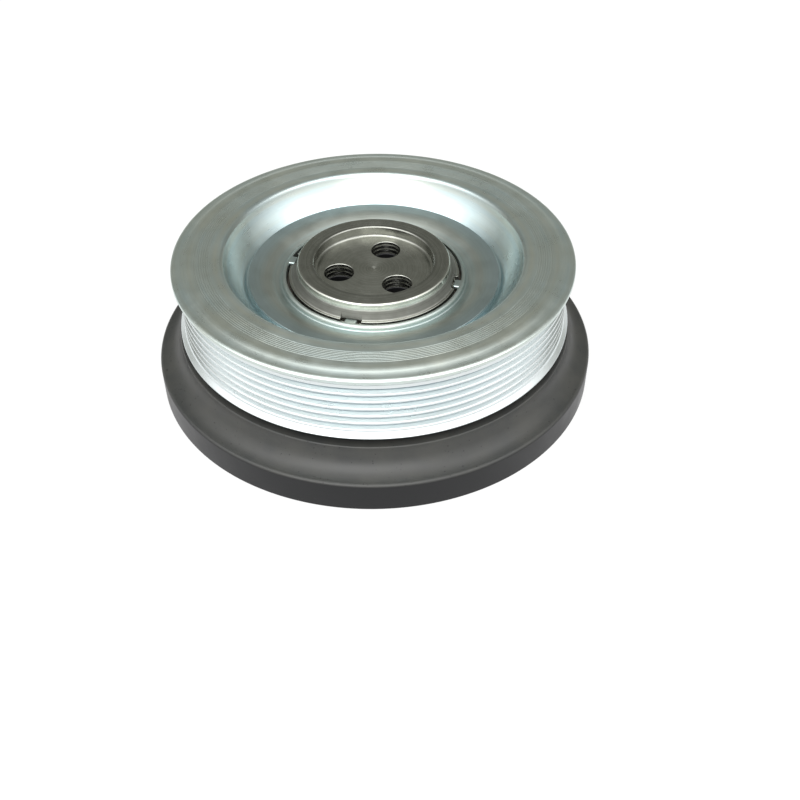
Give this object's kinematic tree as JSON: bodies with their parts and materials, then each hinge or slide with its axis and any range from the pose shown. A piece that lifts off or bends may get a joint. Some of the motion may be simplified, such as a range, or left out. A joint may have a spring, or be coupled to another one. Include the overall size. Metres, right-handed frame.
{
  "type": "harmonic balancer",
  "caption": "Harmonic balancer for an engine's crankshaft: a ribbed belt pulley on a rubber coupling over a heavy damper ring, with a bolted hub and rotation stops.",
  "frame": {"origin": "centre of the back face, on the axis of rotation, at the height the part rests on when it lies on its back", "axes": "+Z along the axis of rotation, from the crankshaft end to the pulley's front face; +X and +Y across the axis"},
  "size_m": [0.189, 0.189, 0.0572],
  "materials": {
    "turned_steel": "bare, finely turned, lightly oiled",
    "coated_casting": "satin black coating",
    "rubber": "matt, moulded and bonded",
    "bush_plastic": "filled polymer, matt",
    "sleeve_steel": "plain rolled sheet",
    "zinc_plated_steel": "spun and stamped sheet, bright zinc plating"
  },
  "bodies": {
    "hub": {"front_hub": "turned_steel", "damper_hub": "coated_casting", "damper_rubber": "rubber", "inertia_ring": "coated_casting", "journal_bush": "bush_plastic", "spring_inner_sleeve": "sleeve_steel", "spring_rubber": "rubber"},
    "pulley": {"belt_pulley": "zinc_plated_steel", "stop_plate": "zinc_plated_steel", "spring_outer_sleeve": "sleeve_steel"}
  },
  "joints": [
    {"name": "pulley_twist", "type": "hinge", "parent": "hub", "child": "pulley", "pos_m": [0, 0, 0.042], "axis": [0, 0, 1], "range_deg": [-2.5, 2.5], "stiffness_Nm_per_rad": 300}
  ]
}
